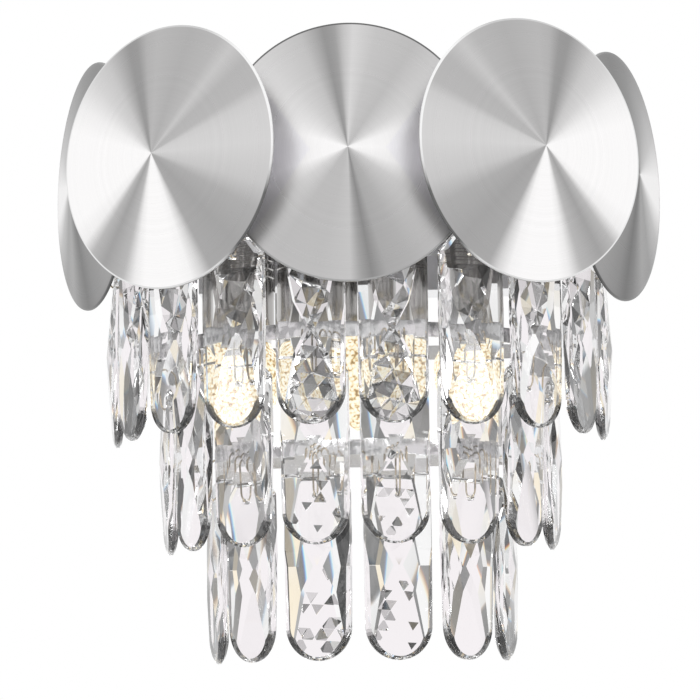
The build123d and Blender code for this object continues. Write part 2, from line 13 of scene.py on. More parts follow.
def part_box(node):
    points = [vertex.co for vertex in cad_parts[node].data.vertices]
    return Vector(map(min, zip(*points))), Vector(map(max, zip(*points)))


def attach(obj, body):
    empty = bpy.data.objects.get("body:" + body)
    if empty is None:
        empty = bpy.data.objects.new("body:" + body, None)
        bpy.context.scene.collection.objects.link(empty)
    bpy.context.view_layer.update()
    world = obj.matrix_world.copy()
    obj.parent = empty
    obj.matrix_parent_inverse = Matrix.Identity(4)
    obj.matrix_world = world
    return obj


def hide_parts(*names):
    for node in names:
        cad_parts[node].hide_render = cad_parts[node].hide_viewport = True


bl_info = {
    "name": "Crystal wall light",
    "version": (1, 0, 0),
    "blender": (4, 5, 0),
    "location": "3D View > Sidebar > Wall light",
    "description": "Spun discs, faceted pendants, wire clips, bands and lamps of a wall light",
    "category": "Object",
}

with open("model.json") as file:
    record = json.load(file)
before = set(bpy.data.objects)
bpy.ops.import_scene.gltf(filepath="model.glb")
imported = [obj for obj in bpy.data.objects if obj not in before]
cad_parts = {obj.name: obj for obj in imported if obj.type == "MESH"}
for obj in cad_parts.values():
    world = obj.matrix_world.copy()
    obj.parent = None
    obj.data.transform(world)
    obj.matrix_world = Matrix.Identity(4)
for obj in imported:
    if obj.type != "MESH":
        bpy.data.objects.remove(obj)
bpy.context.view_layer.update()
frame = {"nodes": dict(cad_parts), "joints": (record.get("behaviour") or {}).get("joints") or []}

MM = 0.001
UP = Vector((0, 0, 1))
FRONT_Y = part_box("housing")[0].y
DISC_Z = (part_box("housing")[0].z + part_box("housing")[1].z) / 2
HINGES = {joint["child"]: joint for joint in frame["joints"]}
TIERS = ("upper", "middle", "lower")
LAMP_SIDES = ("left", "center", "right")
# Radius of the disc rail, to the middle of its sheet.
RAIL_RADIUS = 112 * MM


def add_object(name, data):
    """Object of a mesh, curve, lamp or camera, put in the scene."""
    made = bpy.data.objects.new(name, data)
    bpy.context.scene.collection.objects.link(made)
    return made


def plain_mesh(source):
    """Mesh of an object with its modifiers applied; the object goes."""
    graph = bpy.context.evaluated_depsgraph_get()
    mesh = bpy.data.meshes.new_from_object(source.evaluated_get(graph))
    bpy.data.objects.remove(source)
    return mesh


def middle(node):
    """Middle of a solid's box."""
    low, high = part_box(node)
    return (low + high) / 2


def around(angle, radius, height):
    """Place on the half circle: local X points outwards, Y to the right and Z up."""
    out = Vector((math.sin(angle), -math.cos(angle), 0))
    right = Vector((math.cos(angle), math.sin(angle), 0))
    spot = Vector((0, FRONT_Y, height)) + radius * out
    turn = Matrix((out, right, UP)).transposed().to_4x4()
    return Matrix.Translation(spot) @ turn


def tier_members(tier):
    """Pendants of one tier, left to right, each with its hinge's angle, radius and height."""
    found = []
    for name, joint in HINGES.items():
        if name.startswith(f"crystal_{tier}_"):
            spot = Vector(joint["pos_m"])
            angle = math.atan2(spot.x, FRONT_Y - spot.y)
            found.append((angle, name, math.hypot(spot.x, spot.y - FRONT_Y), spot.z))
    return sorted(found)


# Shader maths


class Value:
    """Something that varies over a surface or between points; arithmetic on it adds Math nodes."""

    def __init__(self, nodes, socket):
        self.nodes = nodes
        self.socket = socket

    def __add__(self, other):
        return self.nodes.maths("ADD", self, other)

    def __sub__(self, other):
        return self.nodes.maths("SUBTRACT", self, other)

    def __rsub__(self, other):
        return self.nodes.maths("SUBTRACT", other, self)

    def __mul__(self, other):
        return self.nodes.maths("MULTIPLY", self, other)

    def __truediv__(self, other):
        return self.nodes.maths("DIVIDE", self, other)

    def __rtruediv__(self, other):
        return self.nodes.maths("DIVIDE", other, self)

    __radd__ = __add__
    __rmul__ = __mul__


class Nodes:
    """A node tree under construction."""

    def __init__(self, tree):
        self.tree = tree

    def feed(self, slot, value):
        """Links a value to a socket, or sets it there."""
        if isinstance(value, Value):
            self.tree.links.new(value.socket, slot)
        else:
            slot.default_value = value

    def node(self, kind, settings=None, output=0, numbered=None, **named):
        """Adds a node, sets it up first and then fills its sockets, by number or by name."""
        node = self.tree.nodes.new(kind)
        for key, value in (settings or {}).items():
            if key == "stops":
                ramp = node.color_ramp
                while len(ramp.elements) < len(value):
                    ramp.elements.new(0.5)
                for element, (place, color) in zip(ramp.elements, value):
                    element.position = place
                    element.color = color
            else:
                setattr(node, key, value)
        for number, value in (numbered or {}).items():
            self.feed(node.inputs[number], value)
        for key, value in named.items():
            self.feed(node.inputs[key.replace("_", " ")], value)
        return Value(self, node.outputs[output])

    def maths(self, operation, *values):
        """Adds a Math node."""
        return self.node("ShaderNodeMath", {"operation": operation}, 0, dict(enumerate(values)))

    def ease(self, value, low, high):
        """0 below the low value and 1 above the high one, with a smooth step between."""
        settings = {"interpolation_type": "SMOOTHSTEP"}
        return self.node("ShaderNodeMapRange", settings, Value=value, From_Min=low, From_Max=high)

    def parts(self, vector):
        """The three numbers of a vector."""
        return [self.node("ShaderNodeSeparateXYZ", output=axis, Vector=vector) for axis in range(3)]


class Finish(Nodes):
    """A material under construction, with its Principled shader."""

    def __init__(self, name, **constants):
        self.material = bpy.data.materials.new(name)
        self.material.use_nodes = True
        super().__init__(self.material.node_tree)
        self.shader = self.tree.nodes["Principled BSDF"]
        for socket, value in constants.items():
            self.wear(socket.replace("_", " "), value)

    def wear(self, socket, value):
        """Gives the shader a value or a constant."""
        self.feed(self.shader.inputs[socket], value)

    def place(self):
        """Where on the object a point is."""
        return self.node("ShaderNodeTexCoord", output="Object")

    def uv(self):
        """The piece's own map, across and along."""
        return self.parts(self.node("ShaderNodeUVMap", {"uv_map": "around"}))[:2]

    def noise(self, scale, detail, spot=None):
        """Noise through the object, or at a spot of its own."""
        return self.node("ShaderNodeTexNoise", Vector=spot or self.place(), Scale=scale, Detail=detail)

    def rings(self, scale, detail, along):
        """Noise along one measure alone."""
        settings = {"noise_dimensions": "1D"}
        return self.node("ShaderNodeTexNoise", settings, W=along, Scale=scale, Detail=detail)

    def blend(self, amount, one, two):
        """A colour between two colours."""
        return self.node("ShaderNodeMix", {"data_type": "RGBA"}, 2, {0: amount, 6: one, 7: two})

    def tint(self, color, shade):
        """A colour made lighter and darker by a value around 1."""
        return self.node("ShaderNodeVectorMath", {"operation": "SCALE"}, 0, {0: color}, Scale=shade)

    def shaded(self, color, shade):
        """A colour multiplied by another."""
        return self.node("ShaderNodeVectorMath", {"operation": "MULTIPLY"}, 0, {0: color, 1: shade})

    def relief(self, height, depth, strength):
        """Fine relief of a height."""
        self.wear("Normal", self.node("ShaderNodeBump", Height=height, Strength=strength, Distance=depth))


def linear(tone):
    """Linear share of a displayed grey."""
    return ((tone + 0.055) / 1.055) ** 2.4 if tone > 0.04 else tone / 12.92


# Finishes

# Painted reflection tones of the spun sunburst, as (degrees counter-clockwise from the disc's
# right, grey): its light and dark wedges stand in for the turned steel's reflections.
FLANK_PAINTED_SUNBURST = (
    (0, 0.85), (14, 0.84), (21, 0.82), (27, 0.74), (40, 0.73), (50, 0.80), (58, 0.74), (75, 0.71),
    (94, 0.74), (101, 0.72), (107, 0.62), (112, 0.61), (119, 0.71), (126, 0.80), (136, 0.85),
    (150, 0.96), (162, 1.0), (205, 1.0), (215, 0.96), (222, 0.74), (231, 0.65), (244, 0.74),
    (251, 0.95), (257, 1.0), (277, 1.0), (284, 0.98), (290, 0.86), (295, 0.68), (312, 0.66),
    (330, 0.70), (341, 0.80), (360, 0.85),
)
CENTER_PAINTED_SUNBURST = (
    (0, 1.0), (20, 0.98), (36, 0.86), (58, 0.76), (76, 0.79), (87, 0.86), (92, 0.78), (96, 0.64),
    (101, 0.60), (105, 0.68), (112, 0.78), (128, 0.84), (146, 0.92), (162, 1.0), (197, 1.0),
    (214, 0.86), (234, 0.76), (255, 0.76), (270, 0.79), (275, 0.65), (280, 0.56), (287, 0.68),
    (299, 0.71), (325, 0.82), (342, 0.97), (360, 1.0),
)
FAR_PAINTED_SUNBURST = (
    (0, 0.68), (30, 0.64), (55, 0.54), (80, 0.46), (100, 0.47), (125, 0.56), (150, 0.70),
    (172, 0.94), (188, 0.94), (205, 0.68), (225, 0.52), (240, 0.58), (256, 0.44), (266, 0.39),
    (280, 0.52), (300, 0.60), (330, 0.64), (360, 0.68),
)

# Painted reflection tones of the lips, in the same way.
FLANK_PAINTED_LIP = (
    (0, 0.97), (45, 0.97), (70, 0.80), (150, 0.88), (215, 0.92), (300, 0.86), (312, 0.40),
    (338, 0.42), (350, 0.9), (360, 0.97),
)
CENTER_PAINTED_LIP = (
    (0, 0.80), (30, 0.62), (50, 0.42), (130, 0.42), (150, 0.62), (180, 0.80), (230, 0.66),
    (310, 0.66), (360, 0.80),
)
FAR_PAINTED_LIP = (
    (0, 0.90), (60, 0.60), (90, 0.45), (130, 0.50), (180, 0.72), (240, 0.5), (300, 0.34),
    (345, 0.5), (360, 0.90),
)

# Edges of the two painted shaded wedges at the centre disc's sides, standing in for reflections of
# the neighbouring discs, as shares of its radius from its middle, with the shade of each, and how
# much they lean out above and below.
CENTER_PAINTED_WEDGES = ((0.27, 0.31, (0.95, 0.95, 0.98)), (0.30, 0.80, (0.93, 0.93, 0.95)))
WEDGE_LEAN = 0.72

# Where the lip starts, as shares of the disc's radius.
LIP_START = (0.983, 0.988)


def painted_reflection_ramp(finish, tones, angle):
    """Painted reflection greys by angle."""
    stops = [(degrees / 360, [linear(tone)] * 3 + [1]) for degrees, tone in tones]
    return finish.node("ShaderNodeValToRGB", {"stops": stops}, Fac=angle)


def spun_steel(name, sunburst, lip, settings):
    """Turned steel: fine rings, and a painted sunburst of light and dark reflection wedges about the
    point.
    """
    finish = Finish(name, Metallic=1.0, Specular_IOR_Level=0.5)
    across, along = finish.uv()
    rings = finish.rings(settings.ring_count, 4.0, along)
    coarse = finish.rings(settings.ring_count / 6, 2.0, along)
    # Painted reflections: the base colour carries the light and dark wedges of the sunburst.
    color = finish.shaded(painted_reflection_ramp(finish, sunburst, across), settings.steel)
    # Painted shade: two darker wedges at the centre disc's sides stand in for the reflections of the
    # neighbouring discs.
    if sunburst is CENTER_PAINTED_SUNBURST:
        turn = across * (2 * math.pi)
        right = finish.maths("ABSOLUTE", finish.maths("COSINE", turn) * along)
        rise = finish.maths("ABSOLUTE", finish.maths("SINE", turn) * along)
        beyond = right - rise * WEDGE_LEAN
        for start, end, shade in CENTER_PAINTED_WEDGES:
            color = finish.blend(finish.ease(beyond, start, end), color, finish.shaded(color, shade))
    # Painted reflection: bright and dark lines on the lip, by angle.
    color = finish.blend(finish.ease(along, *LIP_START), color, painted_reflection_ramp(finish, lip, across))
    finish.wear("Base Color", finish.tint(color, 0.93 + rings * 0.09 + coarse * 0.05))
    finish.wear("Roughness", 0.24 + rings * 0.12)
    finish.relief(rings + coarse * 0.5, settings.ring_depth, 0.6)
    return finish.material


def mirror_steel(name, color, roughness, painted_glint_share=0.0):
    """Polished plate with faint wipe marks, and in front painted dark glints, standing in for reflections
    of the glass beside it.
    """
    finish = Finish(name, Metallic=1.0)
    cloudy = finish.noise(45.0, 3.0)
    wiped = finish.noise(900.0, 2.0)
    shade = 0.94 + cloudy * 0.1
    # Painted reflections: dark patches in front stand in for the glass reflected in the plate.
    if painted_glint_share:
        ahead = FRONT_Y - finish.parts(finish.place())[1]
        glints = finish.ease(finish.noise(230.0, 1.0), 0.44, 0.60) * finish.ease(ahead, 5 * MM, 50 * MM)
        shade = shade - glints * painted_glint_share
    finish.wear("Base Color", finish.tint(color, shade))
    finish.wear("Roughness", roughness + cloudy * 0.05 + wiped * 0.03)
    finish.relief(cloudy, 0.02 * MM, 0.3)
    return finish.material


def cut_crystal_glass(name, settings):
    """Clear cut glass with polished facets, and painted shade from the faces' dark attribute."""
    finish = Finish(name, Transmission_Weight=1.0, IOR=settings.refraction)
    cloudy = finish.noise(30.0, 2.0)
    # Painted shade: the dark attribute darkens the glass colour face by face, standing in for what each
    # facet reflects.
    dark = finish.node("ShaderNodeAttribute", {"attribute_name": "dark"}, output=2)
    finish.wear("Base Color", finish.tint(settings.glass, 0.985 + cloudy * 0.015 - dark))
    finish.wear("Roughness", cloudy * 0.004)
    return finish.material


def bulb_glow(name, settings):
    """Lit candle bulb, its glass full of small bright points."""
    finish = Finish(name, Roughness=0.25, Emission_Strength=settings.glow)
    points = finish.node("ShaderNodeTexVoronoi", {"feature": "F1"}, Vector=finish.place(), Scale=620.0)
    fine = finish.noise(800.0, 3.0)
    level = 1 - points * 1.1 + (fine - 0.5) * 1.2
    stops = [
        (0.0, [0.30, 0.18, 0.07, 1]), (0.20, [0.60, 0.42, 0.20, 1]), (0.36, [0.92, 0.80, 0.52, 1]),
        (0.52, [0.97, 0.93, 0.76, 1]), (1.0, [1.0, 0.98, 0.92, 1]),
    ]
    warm = finish.node("ShaderNodeValToRGB", {"stops": stops}, Fac=level)
    finish.wear("Emission Color", warm)
    finish.wear("Base Color", finish.tint((0.22, 0.18, 0.12), 0.9 + fine * 0.1))
    finish.relief(points, 0.3 * MM, 0.5)
    return finish.material


def turned_metal(name, color, roughness, fineness):
    """Machined metal with fine turning marks."""
    finish = Finish(name, Metallic=1.0)
    marks = finish.noise(fineness, 4.0)
    finish.wear("Base Color", finish.tint(color, 0.9 + marks * 0.18))
    finish.wear("Roughness", roughness + marks * 0.15)
    finish.relief(marks, 0.03 * MM, 0.4)
    return finish.material


def moulded_plastic(name, color, roughness):
    """Moulded plastic with a fine grain."""
    finish = Finish(name, Specular_IOR_Level=0.45)
    grain = finish.noise(1400.0, 2.0)
    patch = finish.noise(60.0, 2.0)
    finish.wear("Base Color", finish.tint(color, 0.88 + patch * 0.16 + grain * 0.06))
    finish.wear("Roughness", roughness + grain * 0.12)
    finish.relief(grain, 0.06 * MM, 0.5)
    return finish.material


# Mesh making


def finish_piece(piece, material, body, nodes, sharp=0.6):
    """Gives a piece its material and edges, and puts it in place of the solids it stands for."""
    piece.data.materials.clear()
    piece.data.materials.append(material)
    if sharp:
        piece.data.polygons.foreach_set("use_smooth", [True] * len(piece.data.polygons))
        piece.data.set_sharp_from_angle(angle=sharp)
    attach(piece, body)
    if nodes:
        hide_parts(*nodes)
    return piece


def add_mesh(name, bm):
    """Object of a bmesh."""
    mesh = bpy.data.meshes.new(name)
    bm.to_mesh(mesh)
    bm.free()
    return add_object(name, mesh)


def new_piece(name, bm):
    """Object of a bmesh, with its normals pointing out."""
    bmesh.ops.recalc_face_normals(bm, faces=bm.faces)
    return add_mesh(name, bm)


def add_run(curve, kind, points):
    """Adds a spline through points to a curve."""
    spline = curve.splines.new(kind)
    spline.points.add(len(points) - 1)
    for point, spot in zip(spline.points, points):
        point.co = (*spot, 1)
    return spline


def turn_profile(bm, profile, segments, place, mirrored=False):
    """Turns (along, radius) stations about the local X axis; the first and last lie on it."""
    uv = bm.loops.layers.uv.get("around") or bm.loops.layers.uv.new("around")
    widest = max(radius for _, radius in profile)
    first = bm.verts.new(place @ Vector((profile[0][0], 0, 0)))
    last = bm.verts.new(place @ Vector((profile[-1][0], 0, 0)))
    turns = [2 * math.pi * step / segments for step in range(segments)]
    circle = [(math.cos(turn), math.sin(turn)) for turn in turns]
    rows = [
        [bm.verts.new(place @ Vector((along, radius * y, radius * z))) for y, z in circle]
        for along, radius in profile[1:-1]
    ]

    def add_face(corners, steps, radii):
        face = bm.faces.new(corners)
        shares = [step / segments for step in steps]
        if mirrored:
            shares = [(0.5 - share) % 1.0 for share in shares]
            if max(shares) - min(shares) > 0.5:
                shares = [share + 1.0 if share < 0.5 else share for share in shares]
        for loop, share, radius in zip(face.loops, shares, radii):
            loop[uv].uv = (share, radius / widest)

    start, end = profile[1][1], profile[-2][1]
    for step in range(segments):
        after = (step + 1) % segments
        half = step + 0.5
        add_face((first, rows[0][step], rows[0][after]), (half, step, step + 1), (0, start, start))
        for (_, near), (_, far), row, below in zip(profile[1:-2], profile[2:-1], rows, rows[1:]):
            corners = (row[step], below[step], below[after], row[after])
            add_face(corners, (step, step, step + 1, step + 1), (near, far, far, near))
        add_face((rows[-1][step], last, rows[-1][after]), (step, half, step + 1), (end, 0, end))


def upright(x, y):
    """Place whose local X axis points down at a lamp."""
    return Matrix.Translation((x, y, 0)) @ Matrix(((0, 0, 1), (0, 1, 0), (-1, 0, 0))).to_4x4()


def disc_profile(settings, rim, diameter):
    """Half section of a spun disc: cone, rolled lip, hollow back and threaded stud."""
    radius = diameter / 2 - 0.05 * MM
    base = diameter / 2 - settings.lip
    slope = settings.rise / base
    back = rim - settings.sheet
    soft = 0.25 * MM
    point_size, point_droop = 0.012, 0.12 * MM
    stations = [(rim + settings.rise, 0)]
    for share in (0.004, 0.01, 0.02, 0.25, 0.5, 0.75, 0.96):
        droop = point_droop * max(0.0, 1 - share / point_size)
        stations.append((rim + settings.rise * (1 - share) - droop, base * share))
    stations += [
        (rim + soft, base - soft / slope * 0.2),
        (rim + soft * 0.2, base + soft),
        (rim, radius - 2 * soft),
        (rim - soft * 0.5, radius - soft * 0.5),
        (rim - 2 * soft, radius),
        (back + soft, radius),
        (back, radius - soft),
        (back, base),
    ]
    stud = settings.stud / 2
    weld, weld_rise = 1.6 * MM, 1.4 * MM
    stations.append((back + settings.rise - slope * (stud + weld), stud + weld))
    stations.append((back + settings.rise - slope * stud - weld_rise, stud))
    pitch, thread_depth = 0.8 * MM, 0.3 * MM
    along = RAIL_RADIUS + 6 * MM
    while along > RAIL_RADIUS - 6.6 * MM:
        stations.append((along, stud))
        stations.append((along - pitch / 2, stud - thread_depth))
        along -= pitch
    tip = RAIL_RADIUS - 7 * MM
    return stations + [(tip, stud - 0.5 * MM), (tip, 0)]


# Settings


def metres(name, description, default):
    """Property in metres."""
    return FloatProperty(name=name, description=description, default=default, unit="LENGTH")


def number(name, description, default):
    """Property with no unit."""
    return FloatProperty(name=name, description=description, default=default)


def whole(name, description, default, least=0):
    """Property that is a whole number."""
    return IntProperty(name=name, description=description, default=default, min=least)


def tilt(name, description, default):
    """Property that is an angle, given in degrees and kept in radians."""
    turned = math.radians(default)
    return FloatProperty(name=name, description=description, default=turned, subtype="ANGLE")


def colour(name, description, *default):
    """Property that is a colour."""
    return FloatVectorProperty(name=name, description=description, default=default, subtype="COLOR")


class DiscSettings(bpy.types.PropertyGroup):
    rise: metres("Rise", "Height of the cone", 11 * MM)
    sheet: metres("Sheet", "Thickness of the metal", 1.2 * MM)
    lip: metres("Lip", "Width of the flat lip", 1.2 * MM)
    stud: metres("Stud", "Diameter of the stud", 5 * MM)
    steel: colour("Steel", "Colour of the steel", 0.96, 0.95, 0.95)
    ring_count: number("Rings", "Turning rings from point to rim", 150.0)
    ring_depth: metres("Ring depth", "Depth of the turning rings", 0.012 * MM)


class PendantSettings(bpy.types.PropertyGroup):
    length: metres("Length", "Length of a pendant", 88 * MM)
    width: metres("Width", "Width of a pendant", 32 * MM)
    waist: metres("Waist", "Thickness at the waist", 11 * MM)
    end: metres("End", "Thickness at both ends", 3.4 * MM)
    side: metres("Side", "Thickness at the sides of the waist", 6 * MM)
    ridge: metres("Ridge", "Width left between the side facets", 2 * MM)
    shoulder: metres("Shoulder", "Cut of the top corners", 8 * MM)
    girdle: metres("Girdle", "Half width of the rim between its bevels", 0.7 * MM)
    # Painted shade of the bevels at the lower corners.
    corner_painted_shade: number("Dark corners", "Darkness of the lower corners", 0.97)
    chamfer: metres("Chamfer", "Width of the sides' chamfer", 0.45 * MM)
    bevel: tilt("Bevel", "Lean of the rim bevels", 33)
    hole: metres("Hole", "Diameter of the hole for the clip", 2.7 * MM)
    seed: whole("Seed", "Chance pattern of the small facets", 5)
    round_steps: whole("Round steps", "Steps around the rounded end", 30, 8)
    glass: colour("Glass", "Colour of the glass", 1.0, 1.0, 1.0)
    refraction: number("Refraction", "Index of refraction", 1.56)


class MetalSettings(bpy.types.PropertyGroup):
    wire: metres("Wire", "Thickness of the clip wire", 0.9 * MM)
    clip_length: metres("Clip length", "Length of a clip, between the middles of its bends", 20.8 * MM)
    clip_width: metres("Clip width", "Width of a clip, between the middles of its wires", 8 * MM)
    wire_color: colour("Wire colour", "Colour of the wire", 0.62, 0.54, 0.42)
    polished: colour("Polished steel", "Colour of the bands", 0.80, 0.80, 0.81)
    band_sheet: metres("Band sheet", "Thickness of the bands", 1.2 * MM)
    rail_sheet: metres("Rail sheet", "Thickness of the disc rail", 2.0 * MM)
    arc_steps: whole("Arc steps", "Steps around a band", 96, 16)


class LampSettings(bpy.types.PropertyGroup):
    glow: number("Glow", "Strength of the bulbs' light", 0.97)
    holder: colour("Lampholder", "Colour of the lampholders", 0.42, 0.41, 0.40)


class StageSettings(bpy.types.PropertyGroup):
    floor: colour("Floor", "Colour of the floor", 0.88, 0.88, 0.88)
    light: FloatProperty(name="Light", description="Power of the soft lights", default=9.0, unit="POWER")
    surround: metres("Surround", "Radius of the room the glass shows", 3.0)
    pale: colour("Pale", "Colour straight behind", 0.92, 0.88, 0.90)
    pale_width: number("Pale width", "Half width of the pale part, in degrees", 7.0)
    pale_height: number("Pale height", "Half height of the pale part, in degrees", 12.0)
    rise: number("Rise", "Elevation of the pale part, in degrees", 5.5)
    ahead: number("Ahead", "Heading of the pale part, in degrees", -1.9)
    strip: number("Strip", "Width of a strip, in degrees", 5.0)


# Pieces

# Steps around a disc.
DISC_STEPS = 192

# Of each disc: angle in degrees, radius to the rim, diameter, painted reflection tones, painted
# reflection tones of the lip, and whether the tones are mirrored.
DISCS = {
    "disc_far_left": (-66.4, 138.5 * MM, 120 * MM, FAR_PAINTED_SUNBURST, FAR_PAINTED_LIP, False),
    "disc_left": (-33.6, 151 * MM, 122 * MM, FLANK_PAINTED_SUNBURST, FLANK_PAINTED_LIP, False),
    "disc_center": (0.0, 130 * MM, 120 * MM, CENTER_PAINTED_SUNBURST, CENTER_PAINTED_LIP, False),
    "disc_right": (33.6, 151 * MM, 122 * MM, FLANK_PAINTED_SUNBURST, FLANK_PAINTED_LIP, True),
    "disc_far_right": (66.4, 138.5 * MM, 120 * MM, FAR_PAINTED_SUNBURST, FAR_PAINTED_LIP, True),
}


class WALLLIGHT_OT_discs(bpy.types.Operator):
    """Five spun steel discs, each with its stud"""

    bl_idname = "walllight.discs"
    bl_label = "Spun discs"

    def execute(self, context):
        settings = context.scene.walllight_discs
        finishes = {}
        for node, (angle, rim, diameter, sunburst, lip, mirrored) in DISCS.items():
            if sunburst not in finishes:
                finishes[sunburst] = spun_steel(f"spun steel {len(finishes) + 1}", sunburst, lip, settings)
            bm = bmesh.new()
            place = around(math.radians(angle), 0, DISC_Z)
            turn_profile(bm, disc_profile(settings, rim, diameter), DISC_STEPS, place, mirrored)
            piece = new_piece(f"spun_{node}", bm)
            finish_piece(piece, finishes[sunburst], "fixture", [node])
        return {"FINISHED"}


def pendant_planes(settings, top):
    """Cutting planes of one pendant as (point, outward normal): X is its thickness, Z up."""
    half_length = settings.length / 2
    half_width = settings.width / 2
    waist = settings.waist / 2
    end = settings.end / 2
    side = settings.side / 2
    ridge = settings.ridge / 2
    mid = top - half_length
    glint_reach, glint_margin, glint_depth = 6.3 * MM, 12 * MM, 0.8 * MM
    slope = (waist - side) / (half_width - ridge)
    core = Vector((0, 0, mid))
    planes = []

    def facet(a, b, c):
        a, b, c = Vector(a), Vector(b), Vector(c)
        normal = (b - a).cross(c - a).normalized()
        if normal.dot(a - core) < 0:
            normal = -normal
        planes.append((a, normal))

    for face in (-1, 1):
        for tip in (top - settings.length, top):
            facet((face * waist, 0, mid), (face * end, 0, tip), (face * end, half_width, tip))
        for hand in (-1, 1):
            edge = (face * side, hand * half_width, mid)
            facet((face * waist, hand * ridge, mid), edge, (face * waist, hand * ridge, top))
            for rise in (-1, 1):
                facet(
                    (face * (side + slope * glint_reach), hand * (half_width - glint_reach), mid),
                    (face * (side - glint_depth), hand * half_width, mid),
                    (face * side, hand * half_width, mid + rise * (half_length - glint_margin)),
                )
    return planes


# Points nearer than this to a cut lie on it, in metres.
TOUCHING = 1e-7

# Where the first cut between small facets comes, as a share of a facet.
FIRST_CUT = 0.37


def cut_by(bm, spot, normal):
    """Cuts away what lies outside a plane and closes the cut."""
    everything = bm.verts[:] + bm.edges[:] + bm.faces[:]
    made = bmesh.ops.bisect_plane(
        bm, geom=everything, dist=TOUCHING, plane_co=spot, plane_no=normal, clear_outer=True
    )
    edges = [part for part in made["geom_cut"] if isinstance(part, bmesh.types.BMEdge)]
    if len(edges) > 2:
        bmesh.ops.edgenet_fill(bm, edges=edges)


def cut_mosaic(bm, settings, seed, low, high, slants, cell, share, depth):
    """Breaks the back's main facet between two heights into small facets.

    With a share of 1 every corner is sunk; below that, this share of the facets is tilted.
    """
    chance = random.Random(seed)
    jitter = 0.25 if share == 1 else 0.0
    smallest = 0.2 * cell * cell

    def split(faces, spot, normal):
        geometry = set(faces)
        for face in faces:
            geometry.update(face.edges)
            geometry.update(face.verts)
        made = bmesh.ops.bisect_plane(
            bm, geom=list(geometry), dist=TOUCHING, plane_co=spot, plane_no=normal
        )
        return [part for part in made["geom"] if isinstance(part, bmesh.types.BMFace)]

    bm.normal_update()
    patch = [face for face in bm.faces if face.normal.x < -0.9 and abs(face.normal.y) < 0.01]
    for height in (low, high):
        patch = split(patch, Vector((0, 0, height)), UP)
    patch = [face for face in patch if low < face.calc_center_median().z < high]
    for slant in slants:
        normal = Vector((0, math.sin(math.radians(slant)), math.cos(math.radians(slant))))
        reach = int((settings.length + settings.width) / cell)
        for step in range(-reach, reach):
            along = (step + FIRST_CUT + chance.uniform(-jitter, jitter)) * cell
            patch = split(patch, Vector((0, 0, low)) + along * normal, normal)
    # Painted shade: small facets get a random darkness, standing in for their reflections.
    dark = bm.faces.layers.float["dark"]
    if share < 1:
        patch.sort(key=lambda face: tuple(round(value, 6) for value in face.calc_center_median().zy))
        large = [face for face in patch if face.calc_area() > smallest and chance.random() < share]
        bmesh.ops.inset_individual(bm, faces=large, thickness=0.1 * MM)
        for face in large:
            vert = face.verts[chance.randrange(len(face.verts))]
            vert.co.x -= vert.co.x * depth * chance.uniform(0.5, 1.0)
            face[dark] = chance.uniform(0.4, 0.95)
        return
    inside = set(patch)
    moved = {vert for face in patch for vert in face.verts if inside.issuperset(vert.link_faces)}
    for vert in sorted(moved, key=lambda vert: (round(vert.co.z, 6), round(vert.co.y, 6))):
        vert.co.x -= vert.co.x * depth * chance.uniform(0.0, 1.0)
    for face in bmesh.ops.triangulate(bm, faces=patch)["faces"]:
        face[dark] = chance.uniform(0.1, 0.97)


# The painted dark corners of a pendant's rounded end: middle and half width, in degrees from its tip.
CORNER_TURN = 52
CORNER_REACH = 20


def paint_rim_shade(bm, settings, bottom):
    """Paints shade on the bevels at the lower corners of a pendant, where the cut glass shows no light."""
    dark = bm.faces.layers.float["dark"]
    heart = Vector((0, 0, bottom + settings.width / 2))
    bm.normal_update()
    for face in bm.faces:
        reach = face.calc_center_median() - heart
        if reach.z < 0 and math.hypot(face.normal.y, face.normal.z) > 0.4:
            turn = abs(math.degrees(math.atan2(reach.y, -reach.z)))
            near = 2 - abs(turn - CORNER_TURN) / CORNER_REACH
            face[dark] = settings.corner_painted_shade * min(1.0, max(0.0, near))


def pendant_master(settings, seed, mosaics):
    """One pendant with its swing axis at the origin, cut from a slab facet by facet."""
    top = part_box("crystal_upper_1")[1].z - Vector(HINGES["crystal_upper_1"]["pos_m"]).z
    bottom = top - settings.length
    half = settings.width / 2
    outline = []
    for step in range(settings.round_steps + 1):
        turn = math.pi * (1 + step / settings.round_steps)
        outline.append((half * math.cos(turn), bottom + half + half * math.sin(turn)))
    outline += [
        (half, top - settings.shoulder),
        (half - settings.shoulder, top),
        (settings.shoulder - half, top),
        (-half, top - settings.shoulder),
    ]
    bm = bmesh.new()
    bm.faces.layers.float.new("dark")
    back = [bm.verts.new((-settings.waist, y, z)) for y, z in outline]
    front = [bm.verts.new((settings.waist, y, z)) for y, z in outline]
    bm.faces.new(back)
    bm.faces.new(reversed(front))
    for one, two, three, four in zip(back, back[1:] + back[:1], front[1:] + front[:1], front):
        bm.faces.new((four, three, two, one))
    bmesh.ops.recalc_face_normals(bm, faces=bm.faces)
    for spot, normal in pendant_planes(settings, top):
        cut_by(bm, spot, normal)
    core = Vector((0, 0, (top + bottom) / 2))
    for (y, z), (next_y, next_z) in zip(outline, outline[1:] + outline[:1]):
        wall = Vector((0, next_z - z, y - next_y)).normalized()
        spot = Vector((0, y, z))
        if wall.dot(spot - core) < 0:
            wall = -wall
        straight = abs(wall.y) > 0.999
        slant = math.pi / 4 if straight else settings.bevel
        edge = settings.side / 2 - settings.chamfer if straight else settings.girdle
        for face in (-1, 1):
            lean = wall * math.sin(slant) + Vector((face * math.cos(slant), 0, 0))
            cut_by(bm, spot + Vector((face * edge, 0, 0)), lean)
    bmesh.ops.remove_doubles(bm, verts=bm.verts, dist=1e-6)
    paint_rim_shade(bm, settings, bottom)
    halves = {"above": (core.z, top - settings.shoulder - 6 * MM), "below": (bottom + 2 * MM, core.z)}
    for half_name, slants, cell, share, depth in mosaics:
        cut_mosaic(bm, settings, seed, *halves[half_name], slants, cell, share, depth)
    return new_piece("pendant", bm)


